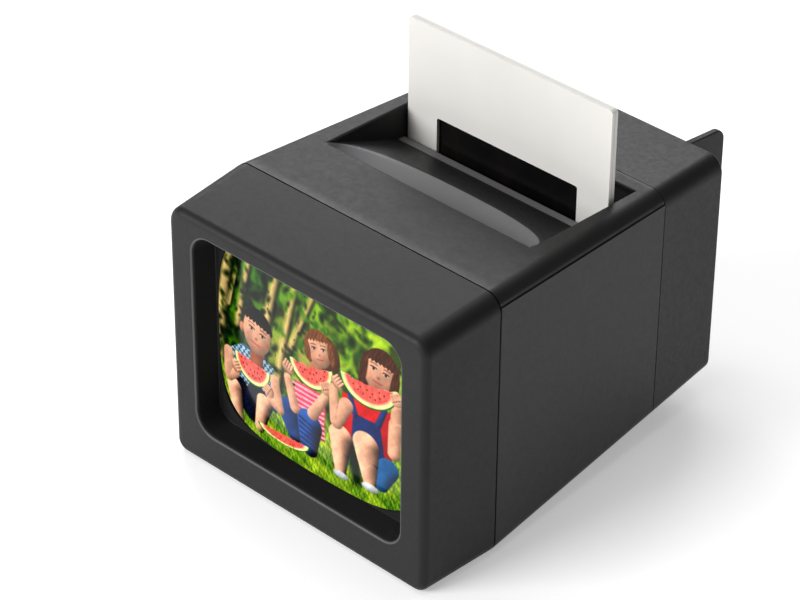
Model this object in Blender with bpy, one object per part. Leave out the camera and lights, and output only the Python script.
"""Battery slide viewer for 50 mm mounts: a tapered case with a lens in front and a slide slot on top.

Frame: metres, +Z up, +Y from the lens to the back. The origin is on the table, below the middle of the box.
The shapes below are drawn with y = 0 on the front face and z = 0 a little above the table, and an empty moves
them all into place.
"""

import math

import bmesh
import bpy
from mathutils import Matrix, Vector

MM = 0.001
GAP = 0.3 * MM  # between pieces that touch

# Outer case, measured on the corners before they are rounded
TABLE_Z = -0.9 * MM
FRONT_WIDTH = 64.5 * MM
FRONT_HEIGHT = 53.8 * MM
SEAM_Y = 18.0 * MM  # bezel to housing
SEAM_WIDTH = 66.0 * MM
SEAM_TOP = 55.4 * MM
BACK_Y = 84.0 * MM
BACK_WIDTH = 58.2 * MM
BACK_TOP = 53.1 * MM
BACK_BOTTOM = 4.9 * MM
COVER_Y = 65.8 * MM  # housing to battery cover
CORNER_R = 3.5 * MM
LOW_CORNER_R = 2.6 * MM
FACE_R = 1.5 * MM
BACK_R = 0.8 * MM
WALL = 2.0 * MM
COVER_WALL = 1.8 * MM
TONGUE_HALF = 23.0 * MM  # flat tongues that locate the battery cover
TONGUE_DEEP = 3.3 * MM
TONGUE_Y = (63.7 * MM, COVER_Y - 0.2 * MM, 69.0 * MM)  # root, step and tip
TONGUE_ROOT = 1.2 * MM  # depth below the outside at the root, and past the step
TONGUE_STEP = 2.1 * MM
LID_DROP = 2.0 * MM  # how far the lid's rounded edge comes down the side

# Lens opening
AXIS_Z = 28.4 * MM
OPENING_HALF = (26.0 * MM, 21.7 * MM)
OPENING_R = 4.2 * MM
OPENING_DEPTH = 5.5 * MM
LIP_R = 0.7 * MM
APERTURE_HALF = (25.4 * MM, 21.6 * MM)
APERTURE_POWER = 4.5
DRAFT = 0.3 * MM
FLANGE_BACK = OPENING_DEPTH + 1.4 * MM
LENS_RIM_Y = FLANGE_BACK + GAP
LENS_RIM = 2.2 * MM
LENS_FRONT_SAG = 3.5 * MM
LENS_BACK_SAG = 8.1 * MM
LENS_SCREWS = [(side * 27.0 * MM, AXIS_Z + rise * 19.6 * MM) for side in (-1, 1) for rise in (-1, 1)]
BOSS_R = 2.2 * MM
BOSS_TOP = 9.4 * MM
PILOT_R = 1.1 * MM
RETAINER = 1.5 * MM
BEZEL_TONGUE = (1.2 * MM, 2.5 * MM)  # thickness, and reach into the housing
BEZEL_SCREW = (22.0 * MM, 23.0 * MM)
SCREW_HOLE_R = 1.2 * MM
SCREW_HEAD_R = 1.9 * MM

# Slide, its slot and the thumb scoop
SLIDE = 50.0 * MM
MOUNT_LAYER = 0.7 * MM
MOUNT_Y = 55.6 * MM
MOUNT_BACK_Y = MOUNT_Y + 2 * MOUNT_LAYER + 0.1 * MM
GATE_Y = 53.2 * MM
SLIDE_Z = 23.3 * MM  # its lower edge, half way in
WINDOW = (35.0 * MM, 23.0 * MM)
WINDOW_FROM_BELOW = 8.0 * MM
FILM_HALF = 18.0 * MM
RECESS_HALF = 25.4 * MM
RECESS_Y = 34.2 * MM
RECESS_BACK_Y = 62.4 * MM
LEDGE_Y = 53.3 * MM
LEDGE_Z = 47.3 * MM
SLOT = (55.3 * MM, 58.3 * MM)
PAN_Z = 45.2 * MM  # underside of the recess
SCOOP_LENGTH = 9.6 * MM
SCOOP_RISE = math.tan(math.radians(5))

# Slide rest and its switch
REST_Z = 10.55 * MM
REST_THICK = 1.2 * MM
REST_HALF = 24.4 * MM
REST_Y = 56.9 * MM
REST_SPRING_X = 18.0 * MM
CONTACT_Y = (59.8 * MM, 62.4 * MM)
PAD_TOP = 6.8 * MM

# Light unit and batteries
DIFFUSER_Y = 58.9 * MM
LIGHT_HALF = (20.5 * MM, 14.0 * MM)
BOARD_Y = 64.2 * MM
TRAY_Y = 65.5 * MM
TRAY_HALF = 27.1 * MM
PLATE_X = (25.7 * MM, 26.0 * MM)
PLATE_HALF = 4.0 * MM
WIRE_R = 0.4 * MM
CELL_R = 7.25 * MM
CELL_LENGTH = 49.3 * MM
NUB = 1.2 * MM
CELL_Y = 74.0 * MM
CELL_Z = (21.7 * MM, 36.9 * MM)

# The fin on the back of the cover, and the depth of the whole
FIN_X = (20.0 * MM, 21.4 * MM)
FIN_Y = 93.7 * MM
FIN_R = 2.6 * MM
FIN_Z = (10.0 * MM, 52.3 * MM)  # its lower edge, and the height that its upper edge falls to

CORNER_STEPS = 8
FOOT_X = 18.0 * MM
FOOT_Y = 58.0 * MM
FLUSH = 0.02 * MM  # keeps a face that lies flush with another just below it


def clear_scene():
    for obj in list(bpy.data.objects):
        bpy.data.objects.remove(obj)


def material(name, colour, roughness, metallic=0.0, alpha=1.0):
    made = bpy.data.materials.new(name)
    made.use_nodes = True
    shader = made.node_tree.nodes["Principled BSDF"]
    shader.inputs["Base Color"].default_value = (*colour, 1)
    shader.inputs["Roughness"].default_value = roughness
    shader.inputs["Metallic"].default_value = metallic
    shader.inputs["Alpha"].default_value = alpha
    return made


# ---- the tapering case ----


def mix(a, b, share):
    return a + (b - a) * share


def case_value(y, front, seam, back):
    """A value that runs straight from the front face to the seam, and straight again to the back."""
    if y <= SEAM_Y:
        return mix(front, seam, y / SEAM_Y)
    return mix(seam, back, (y - SEAM_Y) / (BACK_Y - SEAM_Y))


def half_width(y):
    return case_value(y, FRONT_WIDTH / 2, SEAM_WIDTH / 2, BACK_WIDTH / 2)


def top(y):
    return case_value(y, FRONT_HEIGHT, SEAM_TOP, BACK_TOP)


def bottom(y):
    return case_value(y, TABLE_Z, TABLE_Z, BACK_BOTTOM)


# ---- outlines, as (x, z) points, all starting at the right and running over the top ----


def rounded_box(half, low, high, high_radius, low_radius=None, steps=CORNER_STEPS):
    """A rectangle with round corners, which may be rounder at the top than at the bottom."""
    points = []
    low_radius = low_radius or high_radius
    centres = ((1, high, high_radius), (-1, high, high_radius), (-1, low, low_radius), (1, low, low_radius))
    for corner, (side, level, radius) in enumerate(centres):
        centre_z = level - radius if level == high else level + radius
        for step in range(steps + 1):
            angle = math.radians(90 * (corner + step / steps))
            x = side * (half - radius) + radius * math.cos(angle)
            points.append((x, centre_z + radius * math.sin(angle)))
    return points


def superellipse(half_x, half_z, power=APERTURE_POWER, steps=CORNER_STEPS):
    """The bowed, round-cornered outline of the lens, with as many points as rounded_box."""
    points = []
    for corner in range(4):
        for step in range(steps + 1):
            angle = math.radians(90 * (corner + (step + 0.5) / (steps + 1)))
            c, s = math.cos(angle), math.sin(angle)
            x = half_x * math.copysign(abs(c) ** (2 / power), c)
            points.append((x, AXIS_Z + half_z * math.copysign(abs(s) ** (2 / power), s)))
    return points


def case_outline(y, inset=0.0, radius=CORNER_R):
    low, high = bottom(y) + inset, top(y) - inset
    radii = [max(r - inset, 0.5 * MM) for r in (radius, LOW_CORNER_R)]
    return rounded_box(half_width(y) - inset, low, high, *radii)


# ---- solids ----


def link(name, mesh, mat, smooth=True):
    obj = bpy.data.objects.new(name, mesh)
    bpy.context.collection.objects.link(obj)
    if mat:
        mesh.materials.append(mat)
    if smooth:
        mesh.shade_smooth()
        mesh.set_sharp_from_angle(angle=math.radians(32))
    return obj


def loft(name, rings, mat=None, joined=False):
    """A solid skinned over rings of points. joined: the last ring meets the first, else ends are capped."""
    bm = bmesh.new()
    rows = [[bm.verts.new(point) for point in ring] for ring in rings]
    count = len(rows[0])
    pairs = list(zip(rows, rows[1:]))
    if joined:
        pairs.append((rows[-1], rows[0]))
    else:
        bm.faces.new(rows[0])
        bm.faces.new(rows[-1])
    for near, far in pairs:
        for i in range(count):
            j = (i + 1) % count
            bm.faces.new((near[i], near[j], far[j], far[i]))
    bmesh.ops.recalc_face_normals(bm, faces=bm.faces)
    mesh = bpy.data.meshes.new(name)
    bm.to_mesh(mesh)
    bm.free()
    return link(name, mesh, mat)


def ring(y, outline):
    return [Vector((x, y, z)) for x, z in outline]


def box(name, x, y, z, mat=None):
    """A block between pairs of bounds."""
    corners = [(x[0], z[0]), (x[1], z[0]), (x[1], z[1]), (x[0], z[1])]
    return loft(name, [ring(y[0], corners), ring(y[1], corners)], mat)


def turned(name, profile, centre, axis, mat=None, sides=16):
    """A solid of revolution: profile holds (distance along the axis, radius), closed by flat ends."""
    turn = Vector((0, 0, 1)).rotation_difference(Vector(axis))
    rings = []
    for along, radius in profile:
        circle = [
            Vector((radius * math.cos(a), radius * math.sin(a), along))
            for a in (2 * math.pi * (i + 0.5) / sides for i in range(sides))
        ]
        rings.append([Vector(centre) + turn @ point for point in circle])
    return loft(name, rings, mat)


def tube(name, path, radius, mat, sides=8):
    """A round wire along a list of points."""
    rings = []
    side = Vector((0, 0, 1))
    for i, point in enumerate(path):
        along = (path[min(i + 1, len(path) - 1)] - path[max(i - 1, 0)]).normalized()
        side = (side - along * side.dot(along)).normalized()
        other = along.cross(side)
        angles = [2 * math.pi * k / sides for k in range(sides)]
        rings.append([point + radius * (side * math.cos(a) + other * math.sin(a)) for a in angles])
    return loft(name, rings, mat)


def combine(obj, tool, operation):
    """Joins tool to obj, or cuts it out, and drops the tool."""
    modifier = obj.modifiers.new(operation, "BOOLEAN")
    modifier.operation = operation
    modifier.object = tool
    bpy.context.view_layer.update()
    graph = bpy.context.evaluated_depsgraph_get()
    mesh = bpy.data.meshes.new_from_object(obj.evaluated_get(graph))
    obj.modifiers.clear()
    obj.data = mesh
    mesh.shade_smooth()
    mesh.set_sharp_from_angle(angle=math.radians(32))
    bpy.data.objects.remove(tool)
    return obj


def add(obj, tool):
    return combine(obj, tool, "UNION")


def cut(obj, tool):
    return combine(obj, tool, "DIFFERENCE")


# ---- front bezel and lens ----


def make_bezel(mat):
    """One skin round the whole moulding: outside, front face, opening, lens flange and locating tongue."""
    rings = []
    steps = 5
    for step in range(steps + 1):
        angle = math.radians(90 * step / steps)
        y = FACE_R * (1 - math.sin(angle))
        rings.append(ring(y, case_outline(y, FACE_R * (1 - math.cos(angle)))))
    width, height = OPENING_HALF
    lip_steps = 3
    for step in range(lip_steps + 1):
        angle = math.radians(90 * step / lip_steps)
        spread = LIP_R * (1 - math.sin(angle))
        low, high = AXIS_Z - height - spread, AXIS_Z + height + spread
        outline = rounded_box(width + spread, low, high, OPENING_R + spread)
        rings.append(ring(LIP_R * (1 - math.cos(angle)), outline))
    low, high = AXIS_Z - height + DRAFT, AXIS_Z + height - DRAFT
    rings.append(ring(OPENING_DEPTH, rounded_box(width - DRAFT, low, high, OPENING_R)))
    rings.append(ring(OPENING_DEPTH, superellipse(*(half - DRAFT for half in APERTURE_HALF))))
    rings.append(ring(FLANGE_BACK, superellipse(*APERTURE_HALF)))
    rings.append(ring(FLANGE_BACK, case_outline(FLANGE_BACK, WALL)))
    step_in, tongue = WALL + 2 * GAP, WALL + GAP + BEZEL_TONGUE[0]
    rings.append(ring(SEAM_Y - 3 * MM, case_outline(SEAM_Y - 3 * MM, WALL)))
    rings.append(ring(SEAM_Y - 1 * MM, case_outline(SEAM_Y, tongue)))
    rings.append(ring(SEAM_Y + BEZEL_TONGUE[1], case_outline(SEAM_Y, tongue)))
    rings.append(ring(SEAM_Y + BEZEL_TONGUE[1], case_outline(SEAM_Y, step_in)))
    rings.append(ring(SEAM_Y, case_outline(SEAM_Y, step_in)))
    rings.append(ring(SEAM_Y, case_outline(SEAM_Y)))
    bezel = loft("front_bezel", rings[::-1], mat, joined=True)
    add_bosses(bezel)
    for side in (-1, 1):
        add_lug(bezel, side * BEZEL_SCREW[0])
    return bezel


def add_bosses(bezel):
    """Four posts behind the flange, bored for the lens screws."""
    root = FLANGE_BACK - 0.5 * MM
    post = [(0, BOSS_R), (BOSS_TOP - root, BOSS_R)]
    bore = [(0, PILOT_R), (BOSS_TOP - FLANGE_BACK + MM, PILOT_R)]
    for x, z in LENS_SCREWS:
        add(bezel, turned("boss", post, (x, root, z), (0, 1, 0)))
        cut(bezel, turned("bore", bore, (x, FLANGE_BACK + 0.4 * MM, z), (0, 1, 0), sides=12))


def add_lug(bezel, x):
    """A tab that reaches back over the housing's floor, bored for a screw from below."""
    across = (x - 3 * MM, x + 3 * MM)
    low = TABLE_Z + 3.1 * MM
    lug = box("lug", across, (SEAM_Y - 5 * MM, SEAM_Y + 8 * MM), (low, low + 2.9 * MM))
    add(lug, box("foot", across, (SEAM_Y - 5 * MM, SEAM_Y - 1 * MM), (TABLE_Z + MM, low + 0.9 * MM)))
    add(bezel, lug)
    bore = [(0, SCREW_HOLE_R), (2.2 * MM, SCREW_HOLE_R)]
    cut(bezel, turned("bore", bore, (x, BEZEL_SCREW[1], low - 0.5 * MM), (0, 0, 1), sides=12))


def dome(y, sag, direction, outline_half, rings_out):
    """Rings of a shallow dome from its rim to near its middle."""
    rings = []
    for i in range(rings_out):
        share = 1 - i / rings_out
        height = sag * (1 - share**2)
        outline = superellipse(outline_half[0] * share, outline_half[1] * share)
        rings.append(ring(y + direction * height, outline))
    return rings


def make_lens(mat):
    """A thick biconvex magnifier with a flat rim that the retainer clamps."""
    rim = superellipse(APERTURE_HALF[0] + 1.2 * MM, APERTURE_HALF[1] + 1.2 * MM)
    clear_half = APERTURE_HALF[0] - 0.5 * MM, APERTURE_HALF[1] - 0.5 * MM
    front = dome(LENS_RIM_Y, LENS_FRONT_SAG, -1, clear_half, 6)
    back = dome(LENS_RIM_Y + LENS_RIM, LENS_BACK_SAG, 1, clear_half, 6)
    rings = front[::-1] + [ring(LENS_RIM_Y, rim), ring(LENS_RIM_Y + LENS_RIM, rim)] + back
    return loft("viewing_lens", rings, mat)


def make_retainer(mat):
    near = LENS_RIM_Y + LENS_RIM + GAP
    y = near, near + RETAINER
    outer = rounded_box(29.8 * MM, AXIS_Z - 23.2 * MM, AXIS_Z + 23.2 * MM, 3 * MM)
    inner = superellipse(*(half - 0.4 * MM for half in APERTURE_HALF))
    rings = [ring(y[0], outer), ring(y[1], outer), ring(y[1], inner), ring(y[0], inner)]
    retainer = loft("lens_retainer", rings, mat, joined=True)
    through = [(0, PILOT_R), (RETAINER + 2 * MM, PILOT_R)]
    for x, z in LENS_SCREWS:
        cut(retainer, turned("hole", through, (x, near - MM, z), (0, 1, 0), sides=12))
    return retainer


def make_screw(name, head_at, axis, length, mat):
    """A pan-head screw: the head stands on head_at and the shank runs along axis from there."""
    profile = [
        (-1.3 * MM, 1.1 * MM), (-1.1 * MM, 1.6 * MM), (-0.6 * MM, SCREW_HEAD_R), (0, SCREW_HEAD_R),
        (0, 0.8 * MM), (length - 0.6 * MM, 0.8 * MM), (length, 0.3 * MM),
    ]
    return turned(name, profile, head_at, axis, mat, sides=12)


# ---- housing, lid and battery cover ----


def trough(y, inset, rim_drop, radius):
    """One side of a U: down the right wall, along the floor and up the left wall, at one inset."""
    half, low, high = half_width(y) - inset, bottom(y) + inset, top(y) - rim_drop
    points = []
    if inset == 0:
        start = math.acos(1 - rim_drop / CORNER_R)
        for step in range(3):
            angle = mix(start, math.pi / 2, step / 2)
            rise = CORNER_R * (1 - math.cos(angle))
            points.append((half - CORNER_R * (1 - math.sin(angle)), top(y) - rise))
    else:
        points.append((half, high))
    for step in range(CORNER_STEPS + 1):
        angle = math.radians(90 * step / CORNER_STEPS)
        points.append((half - radius * (1 - math.cos(angle)), low + radius * (1 - math.sin(angle))))
    return points + [(-x, z) for x, z in reversed(points)]


def make_tongue(level, inwards):
    """A flat tongue just inside the case's top or bottom, reaching back into the battery cover."""
    root, step, tip = TONGUE_Y
    depths = ((root, TONGUE_ROOT), (step, TONGUE_ROOT), (step, TONGUE_STEP), (tip, TONGUE_STEP))
    section = [(y, level(y) + inwards * depth) for y, depth in depths]
    section += [(y, level(y) + inwards * TONGUE_DEEP) for y in (tip, root)]
    return loft("tongue", [[Vector((x, y, z)) for y, z in section] for x in (-TONGUE_HALF, TONGUE_HALF)])


def make_housing(mat):
    """Floor and side walls in one moulding, open on top."""
    rim = LID_DROP + GAP
    rings = []
    for y in (SEAM_Y + GAP, COVER_Y - GAP):
        outer = trough(y, 0.0, rim, LOW_CORNER_R)
        inner = trough(y, WALL, rim, LOW_CORNER_R - 1.5 * MM)
        rings.append(ring(y, outer + inner[::-1]))
    housing = loft("main_housing", rings, mat)
    add(housing, make_tongue(bottom, 1))
    for side in (-1, 1):
        at = Vector((side * BEZEL_SCREW[0], BEZEL_SCREW[1], TABLE_Z - MM))
        bore = [(0, SCREW_HOLE_R), (5 * MM, SCREW_HOLE_R)]
        seat = [(0, SCREW_HEAD_R + 0.4 * MM), (2.9 * MM, SCREW_HEAD_R + 0.4 * MM)]
        cut(housing, turned("bore", bore, at, (0, 0, 1), sides=12))
        cut(housing, turned("seat", seat, at, (0, 0, 1)))
    return housing


def ramp(y):
    """Height of the recess floor, which falls straight from the front edge to the ledge by the slot."""
    return mix(top(RECESS_Y), LEDGE_Z, (y - RECESS_Y) / (LEDGE_Y - RECESS_Y))


def scoop_back(x):
    """How far back the scoop's curved edge lies at x."""
    share = min(abs(x) / (RECESS_HALF - 0.4 * MM), 1)
    return RECESS_Y + max(SCOOP_LENGTH * (1 - share**2.5) ** 0.4, 0.15 * MM)


def recess_profile(x):
    """The recess in section at x, as (y, z): scoop, ramp, ledge, slot and the slanted back of the slot."""
    above = SEAM_TOP + 3 * MM
    below = PAN_Z - 5 * MM
    rim = top(RECESS_BACK_Y) - 1.2 * MM
    back_y = scoop_back(x)
    length = back_y - RECESS_Y
    floor = ramp(back_y)
    points = [(RECESS_Y, above)]
    for step in range(5):
        share = step / 5
        hollow = 0.35 * MM * math.sin(math.pi * share)
        depth = floor - SCOOP_RISE * length * (1 - share) - hollow * length / SCOOP_LENGTH
        points.append((RECESS_Y + length * share, depth))
    points += [(back_y, floor), (LEDGE_Y, LEDGE_Z), (SLOT[0], LEDGE_Z), (SLOT[0], below), (SLOT[1], below)]
    points += [(SLOT[1], PAN_Z + 1.2 * MM), (RECESS_BACK_Y, rim), (RECESS_BACK_Y, above)]
    return points


def make_rail(side):
    """A rib under the lid that stands just inside the housing's wall."""
    rings = []
    for y in (SEAM_Y + 4 * MM, COVER_Y - 1.8 * MM):
        inner, outer = half_width(y) - WALL - 1.5 * MM, half_width(y) - WALL - GAP
        low, high = top(y) - 5 * MM, top(y) - 1.2 * MM
        corners = ((inner, low), (outer, low), (outer, high), (inner, high))
        rings.append(ring(y, [(side * x, z) for x, z in corners]))
    return loft("rail", rings)


def make_lid(mat):
    """The top plate, its rounded long edges, and the recess moulded into it."""
    arc = math.acos(1 - LID_DROP / CORNER_R)
    rings = []
    for y in (SEAM_Y + GAP, COVER_Y - GAP):
        edge = []
        for step in range(6):
            angle = arc * (1 - step / 5)
            x = half_width(y) - CORNER_R * (1 - math.sin(angle))
            edge.append((x, top(y) - CORNER_R * (1 - math.cos(angle))))
        rings.append(ring(y, edge + [(-x, z) for x, z in reversed(edge)]))
    lid = loft("top_cover", rings, mat)
    half = RECESS_HALF + 1.8 * MM
    near, far = RECESS_Y - 1.6 * MM, RECESS_BACK_Y + 1.8 * MM
    section = [(near, top(near) - MM), (near, 48.2 * MM), (RECESS_Y + 9 * MM, 48.0 * MM)]
    section += [(LEDGE_Y - MM, PAN_Z), (far, PAN_Z), (far, top(far) - MM)]
    pan = [[Vector((x, y, z)) for y, z in section] for x in (-half, half)]
    add(lid, loft("pan", pan))
    for side in (-1, 1):
        add(lid, make_rail(side))
    add(lid, make_tongue(top, -1))
    columns = 28
    xs = [RECESS_HALF * math.sin(math.pi * (i / columns - 0.5)) for i in range(columns + 1)]
    cut(lid, loft("recess", [[Vector((x, y, z)) for y, z in recess_profile(x)] for x in xs]))
    return lid


def quarter(centre, radius, start, steps=6):
    """Points of a quarter circle, anticlockwise from the start angle in degrees, in the YZ plane."""
    angles = [math.radians(start + 90 * step / steps) for step in range(steps + 1)]
    return [(centre[0] + radius * math.cos(a), centre[1] + radius * math.sin(a)) for a in angles]


def make_cover(mat):
    """Battery cover: a tapering box open in front, with one upright fin moulded on its back."""
    rings = [ring(COVER_Y, case_outline(COVER_Y))]
    steps = 4
    for step in range(steps + 1):
        angle = math.radians(90 * step / steps)
        y = BACK_Y - BACK_R * (1 - math.sin(angle))
        rings.append(ring(y, case_outline(y, BACK_R * (1 - math.cos(angle)))))
    cover = loft("rear_cover", rings, mat)
    inner = [COVER_Y - MM, BACK_Y - COVER_WALL]
    cut(cover, loft("hollow", [ring(y, case_outline(y, COVER_WALL)) for y in inner]))
    root = BACK_Y - MM
    low, high = FIN_Z
    outline = [(root, low)] + quarter((FIN_Y - FIN_R, low + FIN_R), FIN_R, -90)
    outline += quarter((FIN_Y - FIN_R, high - FIN_R), FIN_R, 0)
    outline.append((root, top(root) - FLUSH))
    return add(cover, loft("fin", [[Vector((x, y, z)) for y, z in outline] for x in FIN_X]))


def make_foot(name, side, mat):
    """A rubber stud whose top is cut to the slope of the case's underside."""
    centre = Vector((side * FOOT_X, FOOT_Y, TABLE_Z))
    profile = [(0, 3.4 * MM), (0.5 * MM, 3.9 * MM), (2 * MM, 4.0 * MM), (3 * MM, 4.0 * MM)]
    foot = turned(name, profile, centre, (0, 0, 1), mat, sides=20)
    for vertex in foot.data.vertices:
        if vertex.co.z > TABLE_Z + 2.5 * MM:
            vertex.co.z = bottom(vertex.co.y) - GAP / 2
    return foot


# ---- light path and slide ----


def make_baffle(mat):
    """A black tunnel that narrows from the lens to the slide's window."""
    def mouth(end, spread):
        y, half_x, half_z = end
        low, high = AXIS_Z - half_z - spread, AXIS_Z + half_z + spread
        return ring(y, rounded_box(half_x + spread, low, high, 2 * MM, steps=3))

    near = 21 * MM, 27 * MM, 20.4 * MM
    far = GATE_Y - GAP, 18.4 * MM, 12.4 * MM
    wall = 1.2 * MM
    rings = [mouth(near, wall), mouth(far, wall), mouth(far, 0), mouth(near, 0)]
    return loft("light_baffle", rings, mat, joined=True)


def framed(name, outer, inner, y, mat):
    """A flat frame between two y values. outer and inner hold (half width, low, high, radius)."""
    big, small = (rounded_box(*bounds, steps=2) for bounds in (outer, inner))
    rings = [ring(y[0], big), ring(y[1], big), ring(y[1], small), ring(y[0], small)]
    return loft(name, rings, mat, joined=True)


def make_gate(mat):
    """The frame that the slide slides against, with a channel for each of its edges."""
    outer = (28.2 * MM, 5.9 * MM, 44.9 * MM, 2.4 * MM)
    inner = (17.6 * MM, AXIS_Z - 11.6 * MM, AXIS_Z + 11.6 * MM, 0.8 * MM)
    gate = framed("slide_gate", outer, inner, (GATE_Y, SLOT[0]), mat)
    deep = SLOT[0] - 0.5 * MM, SLOT[1] + 0.3 * MM
    for side in (-1, 1):
        x = sorted((side * RECESS_HALF, side * 27.6 * MM))
        add(gate, box("channel", x, deep, (7.2 * MM, 44.4 * MM)))
    return gate


def make_mount_half(name, y, mat):
    outer = (SLIDE / 2, SLIDE_Z, SLIDE_Z + SLIDE, 0.6 * MM)
    low = SLIDE_Z + WINDOW_FROM_BELOW
    inner = (WINDOW[0] / 2, low, low + WINDOW[1], 0.5 * MM)
    return framed(name, outer, inner, (y, y + MOUNT_LAYER), mat)


def make_film(mat):
    """The picture, lying in a shallow pocket of the mount's back half."""
    y = MOUNT_Y + MOUNT_LAYER + 0.2 * MM
    low = SLIDE_Z + WINDOW_FROM_BELOW - 0.5 * MM
    return box("film_chip", (-FILM_HALF, FILM_HALF), (y, y + 0.14 * MM), (low, low + WINDOW[1] + MM), mat)


def make_mount_back(mat):
    half = make_mount_half("slide_mount_back", MOUNT_Y + MOUNT_LAYER + 0.1 * MM, mat)
    low = SLIDE_Z + WINDOW_FROM_BELOW - 0.8 * MM
    pocket_y = MOUNT_Y + MOUNT_LAYER - 0.2 * MM, MOUNT_Y + MOUNT_LAYER + 0.45 * MM
    pocket_half = FILM_HALF + GAP
    pocket = box("pocket", (-pocket_half, pocket_half), pocket_y, (low, low + WINDOW[1] + 1.6 * MM))
    return cut(half, pocket)


def make_slide_spring(name, side, mat):
    """A bowed leaf that presses the slide forwards."""
    rings = []
    steps = 8
    bow = 1.0 * MM
    thick = 0.3 * MM
    x = side * 21.6 * MM, side * 24.2 * MM
    for step in range(steps + 1):
        share = step / steps
        z = mix(17 * MM, 41 * MM, share)
        y = MOUNT_BACK_Y + GAP + bow * (2 * share - 1) ** 2
        corners = ((x[0], y), (x[1], y), (x[1], y + thick), (x[0], y + thick))
        rings.append([Vector((across, deep, z)) for across, deep in corners])
    return loft(name, rings, mat)


def make_rest(mat):
    """The bar that the slide lands on. An arm reaches back over the switch contacts."""
    z = REST_Z - REST_THICK, REST_Z
    rest = box("slide_rest", (-REST_HALF, REST_HALF), (MOUNT_Y, SLOT[1] - 0.1 * MM), z, mat)
    add(rest, box("arm", (-5 * MM, 5 * MM), (SLOT[1] - 0.3 * MM, CONTACT_Y[1] + 0.8 * MM), z))
    peg = [(0, 0.9 * MM), (0.9 * MM, 0.9 * MM), (1.1 * MM, 0.7 * MM)]
    for side in (-1, 1):
        at = side * REST_SPRING_X, REST_Y, z[0] + 0.2 * MM
        add(rest, turned("peg", peg, at, (0, 0, -1), sides=12))
    return rest


def make_rest_spring(name, side, mat):
    """A short coil between the housing's floor and the rest."""
    floor = bottom(REST_Y) + WALL + 0.4 * MM
    length = REST_Z - REST_THICK - 0.4 * MM - floor
    at = side * REST_SPRING_X, REST_Y, floor
    helix = coil(at, (0, 0, 1), length, 3, (1.5 * MM, 1.5 * MM), 8)
    return tube(name, helix, 0.2 * MM, mat, sides=6)


def coil(centre, axis, length, turns, radii, per_turn=10):
    """Points of a helix whose radius runs from radii[0] to radii[1]."""
    turn = Vector((0, 0, 1)).rotation_difference(Vector(axis))
    points = []
    count = round(turns * per_turn)
    for i in range(count + 1):
        share = i / count
        angle = 2 * math.pi * turns * share
        radius = mix(*radii, share)
        point = Vector((radius * math.cos(angle), radius * math.sin(angle), length * share))
        points.append(Vector(centre) + turn @ point)
    return points


# ---- light unit and batteries ----


def make_reflector(mat):
    half, tall = LIGHT_HALF
    outer = (half, AXIS_Z - tall, AXIS_Z + tall, 0.8 * MM)
    inner = (half - MM, AXIS_Z - tall + MM, AXIS_Z + tall - MM, 0.8 * MM)
    return framed("reflector_box", outer, inner, (DIFFUSER_Y + 1.5 * MM, BOARD_Y - GAP), mat)


def make_diffuser(mat):
    half, tall = LIGHT_HALF
    outline = rounded_box(half, AXIS_Z - tall, AXIS_Z + tall, 0.8 * MM, steps=2)
    return loft("diffuser", [ring(y, outline) for y in (DIFFUSER_Y, DIFFUSER_Y + 1.2 * MM)], mat)


def make_led(name, x, z, mat):
    """A small surface-mounted lamp with a domed face."""
    rings = []
    corners = ((1, 1), (-1, 1), (-1, -1), (1, -1))
    for inset, lift in ((0, 0.15), (0, 0.9), (0.5, 1.2), (1.0, 1.3)):
        half, tall = (1.75 - inset) * MM, (1.4 - inset) * MM
        outline = [(x + right * half, z + up * tall) for right, up in corners]
        rings.append(ring(BOARD_Y - lift * MM, outline))
    return loft(name, rings, mat)


def make_resistor(mat):
    """A bobbin-shaped resistor lying along X on the front of the board."""
    thin, thick = 0.85 * MM, 1.0 * MM
    half_body = [(0, 0.6 * MM), (0.6 * MM, thick), (1.6 * MM, thin)]
    length = 6 * MM
    body = half_body + [(length - along, radius) for along, radius in reversed(half_body)]
    return turned("resistor", body, (-14 * MM, BOARD_Y - 1.2 * MM, 12.3 * MM), (1, 0, 0), mat, sides=10)


def make_tray(mat):
    """Battery tray: a back plate, two end walls and two shelves."""
    low, high = CELL_Z[0] - CELL_R - GAP, CELL_Z[1] + CELL_R + GAP
    wall = 1.0 * MM
    root = TRAY_Y + wall / 2
    tall = low - wall, high + wall
    tray = box("battery_tray", (-TRAY_HALF, TRAY_HALF), (TRAY_Y, TRAY_Y + wall), tall, mat)
    for side in (-1, 1):
        x = sorted((side * (TRAY_HALF - 0.9 * MM), side * TRAY_HALF))
        add(tray, box("end", x, (root, CELL_Y + 6.2 * MM), tall))
    shelf_half = TRAY_HALF - 0.5 * MM
    for z in ((low - wall, low), (high, high + wall)):
        add(tray, box("shelf", (-shelf_half, shelf_half), (root, CELL_Y + 2 * MM), z))
    return tray


def make_cell(name, z, side, mat):
    """A battery whose raised end points to the given side."""
    end = side * (PLATE_X[0] - 0.2 * MM)
    profile = [
        (0, 2.7 * MM), (NUB, 2.7 * MM), (NUB, CELL_R - 0.8 * MM), (NUB + 0.6 * MM, CELL_R),
        (NUB + CELL_LENGTH - 0.6 * MM, CELL_R), (NUB + CELL_LENGTH, CELL_R - 0.6 * MM),
    ]
    return turned(name, profile, (end, CELL_Y, z), (-side, 0, 0), mat, sides=24)


def wire_path(points):
    """A smooth curve through a wire's bends, by Catmull-Rom interpolation."""
    points = [Vector(p) * MM for p in points]
    points = [points[0] * 2 - points[1]] + points + [points[-1] * 2 - points[-2]]
    path = []
    steps = 5
    for a, b, c, d in zip(points, points[1:], points[2:], points[3:]):
        for step in range(steps):
            t = step / steps
            square = 2 * a - 5 * b + 4 * c - d
            cube = 3 * b - a - 3 * c + d
            path.append(0.5 * (2 * b + (c - a) * t + square * t**2 + cube * t**3))
    return path + [points[-2]]


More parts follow.
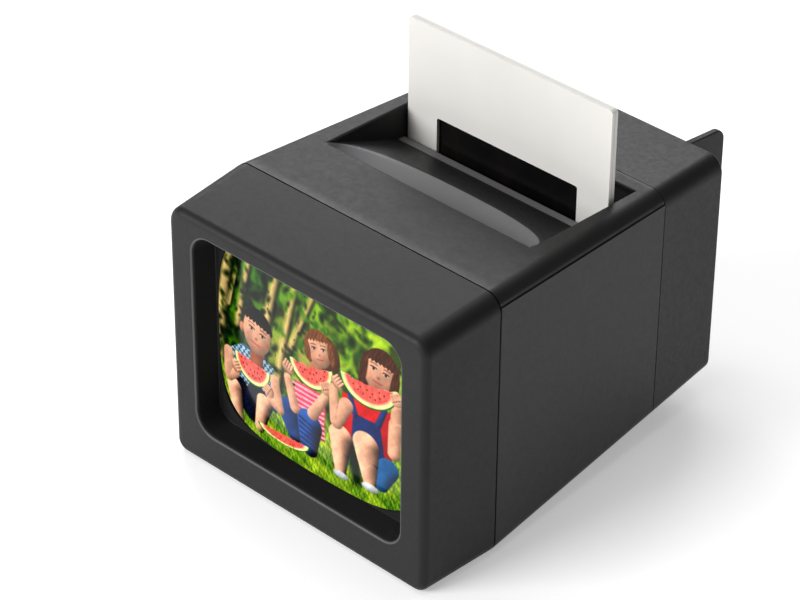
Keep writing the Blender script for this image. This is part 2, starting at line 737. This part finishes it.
def make_contacts(name, z, side, spring_mat, plate_mat):
    """A spiral spring for a battery's flat end, and a plate at the side where its raised end is."""
    spring_at = (-side * PLATE_X[1], CELL_Y, z)
    spiral = coil(spring_at, (side, 0, 0), 0.45 * MM, 2.5, (4.2 * MM, 1.6 * MM), 12)
    tube(f"battery_spring_{name}", spiral, 0.15 * MM, spring_mat, sides=6)
    plate_x = sorted(side * x for x in PLATE_X)
    plate_y = CELL_Y - PLATE_HALF, CELL_Y + PLATE_HALF
    box(f"battery_plate_{name}", plate_x, plate_y, (z - PLATE_HALF, z + PLATE_HALF), plate_mat)


def make_empty(name, place, parent=None):
    empty = bpy.data.objects.new(name, None)
    bpy.context.collection.objects.link(empty)
    empty.location = place
    empty.parent = parent
    return empty


def carry(axis, pieces):
    """Parents pieces, drawn in the viewer's frame, to an empty that stands on their joint's axis."""
    place = axis.location.copy()
    holder = axis.parent
    while holder.parent:
        place += holder.location
        holder = holder.parent
    for piece in pieces:
        piece.data.transform(Matrix.Translation(-place))
        piece.parent = axis


def assemble():
    """Stands the viewer over its origin, with the moving pieces on the empties of their joints."""
    pieces = {obj.name: obj for obj in bpy.data.objects}
    viewer = make_empty("viewer", (0, -FIN_Y / 2, -TABLE_Z))
    rest_axis = make_empty("rest_axis", (0, REST_Y, REST_Z), viewer)
    slide_axis = make_empty("slide_axis", (0, 0, SLIDE_Z - REST_Z), rest_axis)
    cover_axis = make_empty("cover_axis", (0, COVER_Y, AXIS_Z), viewer)
    moving = {
        rest_axis: ("slide_rest", "contact_bridge"),
        slide_axis: ("slide_mount_front", "slide_mount_back", "film_chip"),
        cover_axis: ("rear_cover",),
    }
    for axis, names in moving.items():
        carry(axis, [pieces.pop(name) for name in names])
    for piece in pieces.values():
        piece.parent = viewer


def main():
    clear_scene()
    case = material("case_plastic", (0.045, 0.045, 0.047), 0.5)
    black = material("black_plastic", (0.012, 0.012, 0.012), 0.7)
    clear = material("clear_acrylic", (0.9, 0.95, 0.95), 0.03, alpha=0.35)
    opal = material("opal_acrylic", (0.9, 0.9, 0.88), 0.5)
    white = material("white_plastic", (0.85, 0.85, 0.83), 0.4)
    card = material("mount_card", (0.82, 0.8, 0.77), 0.7)
    film = material("film_base", (0.01, 0.01, 0.012), 0.15)
    steel = material("screw_steel", (0.55, 0.55, 0.57), 0.3, 1.0)
    brass = material("contact_brass", (0.8, 0.6, 0.3), 0.3, 1.0)
    board = material("circuit_board", (0.02, 0.18, 0.07), 0.4)
    rubber = material("foot_rubber", (0.02, 0.02, 0.02), 0.8)
    sleeve = material("battery_sleeve", (0.05, 0.09, 0.2), 0.35)
    lamp = material("lamp_phosphor", (0.95, 0.85, 0.4), 0.4)
    red = material("red_insulation", (0.6, 0.02, 0.02), 0.4)
    dark = material("black_insulation", (0.02, 0.02, 0.02), 0.4)
    resistor = material("resistor_body", (0.6, 0.45, 0.25), 0.5)

    make_bezel(case)
    make_housing(case)
    make_lid(case)
    make_cover(case)
    make_lens(clear)
    make_retainer(black)
    seat = LENS_RIM_Y + LENS_RIM + GAP + RETAINER + 0.35 * MM
    for number, (x, z) in enumerate(LENS_SCREWS, 1):
        make_screw(f"lens_screw_{number}", (x, seat, z), (0, -1, 0), 3.6 * MM, steel)
    make_baffle(black)
    make_gate(black)
    make_rest(black)
    make_reflector(white)
    make_diffuser(opal)
    pad_low = bottom(CONTACT_Y[1]) + WALL + GAP
    for side, name in ((-1, "left"), (1, "right")):
        make_slide_spring(f"slide_spring_{name}", side, brass)
        make_rest_spring(f"rest_spring_{name}", side, steel)
        pad_x = sorted((side * 1.8 * MM, side * 4.4 * MM))
        box(f"contact_pad_{name}", pad_x, CONTACT_Y, (pad_low, PAD_TOP), brass)
        head_at = (side * BEZEL_SCREW[0], BEZEL_SCREW[1], TABLE_Z + 1.65 * MM)
        make_screw(f"bezel_screw_{name}", head_at, (0, 0, 1), 3.0 * MM, steel)
        make_foot(f"rear_foot_{name}", side, rubber)
    under = REST_Z - REST_THICK - 0.1 * MM
    box("contact_bridge", (-4.6 * MM, 4.6 * MM), CONTACT_Y, (under - 0.3 * MM, under), brass)
    box("led_board", (-17 * MM, 17 * MM), (BOARD_Y, BOARD_Y + MM), (9.6 * MM, 43 * MM), board)
    places = [(x * MM, AXIS_Z + z * MM) for x in (-9, 9) for z in (-6, 6)]
    for number, (x, z) in enumerate(places, 1):
        make_led(f"led_{number}", x, z, lamp)
    make_resistor(resistor)
    make_tray(black)
    for z, side, name in ((CELL_Z[0], 1, "lower"), (CELL_Z[1], -1, "upper")):
        make_cell(f"battery_{name}", z, side, sleeve)
        make_contacts(name, z, side, steel, steel)
    red_route = [(26.9, 64.2, 14), (25.5, 62.2, 12), (18, 61.4, 9.6), (11, 61, 7.6), (5.1, 61, 7.0)]
    black_route = [(-26.9, 64.2, 14), (-24, 62, 12), (-17, 61, 10), (-11, 61, 8), (-5.1, 61, 7.0)]
    tube("wire_red", wire_path(red_route), WIRE_R, red)
    tube("wire_black", wire_path(black_route), WIRE_R, dark)
    make_mount_half("slide_mount_front", MOUNT_Y, card)
    make_mount_back(card)
    make_film(film)
    assemble()


main()
